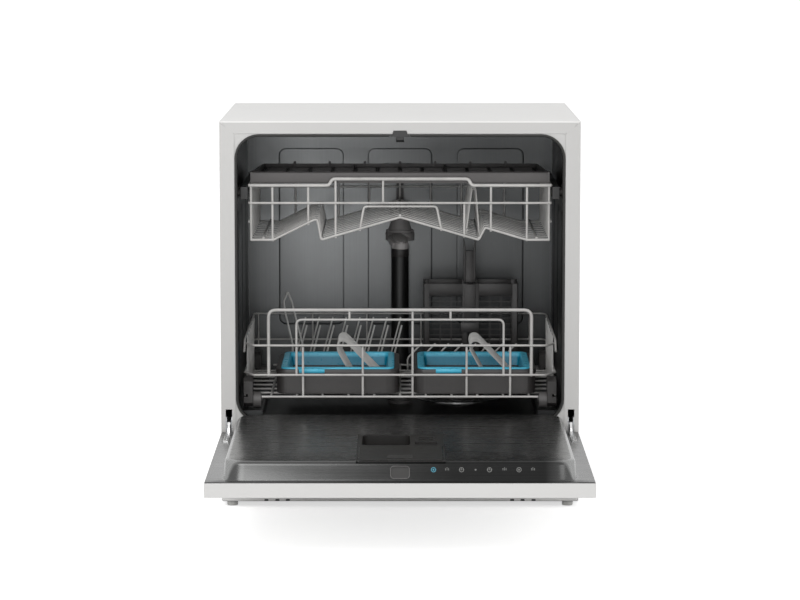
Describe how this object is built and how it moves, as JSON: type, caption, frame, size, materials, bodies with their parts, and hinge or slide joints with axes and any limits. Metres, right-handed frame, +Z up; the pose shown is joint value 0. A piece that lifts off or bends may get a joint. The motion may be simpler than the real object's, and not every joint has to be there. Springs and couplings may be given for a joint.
{
  "type": "countertop dishwasher",
  "caption": "Compact front-loading dishwasher with a drop-down door, a wheeled lower rack, an upper rack with a cutlery tray, spray arms, wash boxes and a basket.",
  "frame": {"origin": "centre of the footprint of the machine with its door open, at the bottom of the feet", "axes": "+X to the right seen from the front, +Y from the open door to the back, +Z up"},
  "size_m": [0.55, 0.915, 0.595],
  "materials": {
    "enamel": "smooth off-white enamel, semi-gloss",
    "enamel_edge": "smooth grey-white enamel",
    "galvanised": "bare zinc-coated sheet",
    "tub_steel": "brushed stainless steel",
    "liner_steel": "brushed stainless steel",
    "wire": "grey nylon coating on steel wire",
    "bright_steel": "polished stainless steel",
    "grey_plastic": "satin polypropylene",
    "dark_plastic": "satin polypropylene",
    "black_plastic": "satin black",
    "light_plastic": "light grey, satin",
    "blue_plastic": "translucent-looking light blue",
    "base_plastic": "moulded dark grey",
    "gasket_rubber": "matt black",
    "motor": "dark motor housing"
  },
  "bodies": {
    "cabinet": {"worktop": "enamel", "left_side_panel": "enamel_edge", "right_side_panel": "enamel_edge", "rear_panel": "galvanised", "base_tray": "base_plastic", "kick_plate": "enamel", "feet": "light_plastic", "tub": "tub_steel", "wheel_tracks": "tub_steel", "door_gasket": "gasket_rubber", "latch_housing": "black_plastic", "hinge_brackets": "galvanised", "hinge_springs": "bright_steel", "roller_posts": "dark_plastic", "water_tube": "black_plastic", "docking_funnel": "grey_plastic", "sump": "dark_plastic", "filter_plate": "bright_steel", "spray_arm_post": "grey_plastic", "circulation_pump": "motor", "drain_pump": "black_plastic", "inlet_valve": "light_plastic", "cable_gland": "black_plastic"},
    "latch": {"latch_tongue": "black_plastic"},
    "roller_fl": {"front_left_roller": "black_plastic"},
    "roller_fr": {"front_right_roller": "black_plastic"},
    "roller_bl": {"back_left_roller": "black_plastic"},
    "roller_br": {"back_right_roller": "black_plastic"},
    "filter": {"filter_cup": "grey_plastic"},
    "salt_closure": {"salt_cap": "black_plastic"},
    "lower_arm": {"lower_spray_arm": "grey_plastic"},
    "door": {"door_outer_panel": "enamel", "door_liner": "liner_steel", "hinge_arms": "bright_steel", "dispenser_body": "grey_plastic"},
    "cup_cover": {"detergent_cover": "grey_plastic"},
    "rinse_closure": {"rinse_cap": "dark_plastic"},
    "upper_rack": {"upper_rack_base": "wire", "upper_rack_front": "wire", "upper_rack_surround": "wire", "upper_rack_rails": "light_plastic", "glass_fins": "wire", "feed_pipe": "grey_plastic"},
    "upper_arm": {"upper_spray_arm": "grey_plastic"},
    "tray": {"cutlery_tray": "grey_plastic"},
    "lower_rack": {"lower_rack_base": "wire", "lower_rack_front": "wire", "lower_rack_back": "wire", "lower_rack_sides": "wire", "wheel_carriers": "dark_plastic", "wash_boxes": "dark_plastic", "wash_inserts": "blue_plastic", "fin_combs": "wire", "cutlery_basket": "grey_plastic"},
    "wheel_fl": {"front_left_wheel": "grey_plastic"},
    "wheel_fr": {"front_right_wheel": "grey_plastic"},
    "wheel_bl": {"back_left_wheel": "grey_plastic"},
    "wheel_br": {"back_right_wheel": "grey_plastic"},
    "plate_rows": {"plate_tines": "wire"},
    "bowl_rows": {"bowl_tines": "wire"}
  },
  "joints": [
    {"name": "door_hinge", "type": "hinge", "parent": "cabinet", "child": "door", "pos_m": [0, -0.0125, 0.128], "axis": [-1, 0, 0], "range_deg": [0, 90]},
    {"name": "lower_rack_slide", "type": "slide", "parent": "cabinet", "child": "lower_rack", "axis": [0, 1, 0], "range_m": [-0.31, 0]},
    {"name": "upper_rack_slide", "type": "slide", "parent": "cabinet", "child": "upper_rack", "axis": [0, 1, 0], "range_m": [-0.22, 0]},
    {"name": "cutlery_tray_lift", "type": "slide", "parent": "upper_rack", "child": "tray", "axis": [0, 0, 1], "range_m": [0, 0.045]},
    {"name": "upper_arm_spin", "type": "hinge", "parent": "upper_rack", "child": "upper_arm", "pos_m": [0, 0.1745, 0.4], "axis": [0, 0, 1], "continuous": true},
    {"name": "lower_arm_spin", "type": "hinge", "parent": "cabinet", "child": "lower_arm", "pos_m": [0, 0.1845, 0.15], "axis": [0, 0, 1], "continuous": true},
    {"name": "detergent_cover_slide", "type": "slide", "parent": "door", "child": "cup_cover", "axis": [0, 1, 0], "range_m": [0, 0.104]},
    {"name": "rinse_cap_turn", "type": "hinge", "parent": "door", "child": "rinse_closure", "pos_m": [0.038, -0.2535, 0.145], "axis": [0, 0, 1], "range_deg": [0, 90]},
    {"name": "salt_cap_turn", "type": "hinge", "parent": "cabinet", "child": "salt_closure", "pos_m": [-0.112, 0.3005, 0.131], "axis": [0, 0, 1], "range_deg": [0, 90]},
    {"name": "filter_turn", "type": "hinge", "parent": "cabinet", "child": "filter", "pos_m": [0.095, 0.2405, 0.131], "axis": [0, 0, 1], "range_deg": [0, 90]},
    {"name": "latch_lift", "type": "slide", "parent": "cabinet", "child": "latch", "axis": [0, 0, 1], "range_m": [0, 0.003], "stiffness_N_per_m": 300, "springref_m": -0.01},
    {"name": "plate_tines_fold", "type": "hinge", "parent": "lower_rack", "child": "plate_rows", "pos_m": [0, 0.2615, 0.1702], "axis": [-1, 0, 0], "range_deg": [0, 84]},
    {"name": "bowl_tines_fold", "type": "hinge", "parent": "lower_rack", "child": "bowl_rows", "pos_m": [0, 0.2385, 0.1702], "axis": [-1, 0, 0], "range_deg": [0, 84]},
    {"name": "wheel_fl_spin", "type": "hinge", "parent": "lower_rack", "child": "wheel_fl", "pos_m": [-0.222, 0.0405, 0.1573], "axis": [1, 0, 0], "range_deg": [-5, 1500]},
    {"name": "wheel_fr_spin", "type": "hinge", "parent": "lower_rack", "child": "wheel_fr", "pos_m": [0.222, 0.0405, 0.1573], "axis": [1, 0, 0], "range_deg": [-5, 1500]},
    {"name": "wheel_bl_spin", "type": "hinge", "parent": "lower_rack", "child": "wheel_bl", "pos_m": [-0.222, 0.3285, 0.1573], "axis": [1, 0, 0], "range_deg": [-5, 1500]},
    {"name": "wheel_br_spin", "type": "hinge", "parent": "lower_rack", "child": "wheel_br", "pos_m": [0.222, 0.3285, 0.1573], "axis": [1, 0, 0], "range_deg": [-5, 1500]},
    {"name": "roller_fl_spin", "type": "hinge", "parent": "cabinet", "child": "roller_fl", "pos_m": [-0.24, 0.0245, 0.4825], "axis": [1, 0, 0], "range_deg": [-5, 1700]},
    {"name": "roller_fr_spin", "type": "hinge", "parent": "cabinet", "child": "roller_fr", "pos_m": [0.24, 0.0245, 0.4825], "axis": [1, 0, 0], "range_deg": [-5, 1700]},
    {"name": "roller_bl_spin", "type": "hinge", "parent": "cabinet", "child": "roller_bl", "pos_m": [-0.24, 0.0485, 0.4825], "axis": [1, 0, 0], "range_deg": [-5, 1700]},
    {"name": "roller_br_spin", "type": "hinge", "parent": "cabinet", "child": "roller_br", "pos_m": [0.24, 0.0485, 0.4825], "axis": [1, 0, 0], "range_deg": [-5, 1700]}
  ],
  "couplings": [
    {"joint": "wheel_fl_spin", "follows": "lower_rack_slide", "rad_per_m": -83.333},
    {"joint": "wheel_fr_spin", "follows": "lower_rack_slide", "rad_per_m": -83.333},
    {"joint": "wheel_bl_spin", "follows": "lower_rack_slide", "rad_per_m": -83.333},
    {"joint": "wheel_br_spin", "follows": "lower_rack_slide", "rad_per_m": -83.333},
    {"joint": "roller_fl_spin", "follows": "upper_rack_slide", "rad_per_m": -125},
    {"joint": "roller_fr_spin", "follows": "upper_rack_slide", "rad_per_m": -125},
    {"joint": "roller_bl_spin", "follows": "upper_rack_slide", "rad_per_m": -125},
    {"joint": "roller_br_spin", "follows": "upper_rack_slide", "rad_per_m": -125}
  ]
}
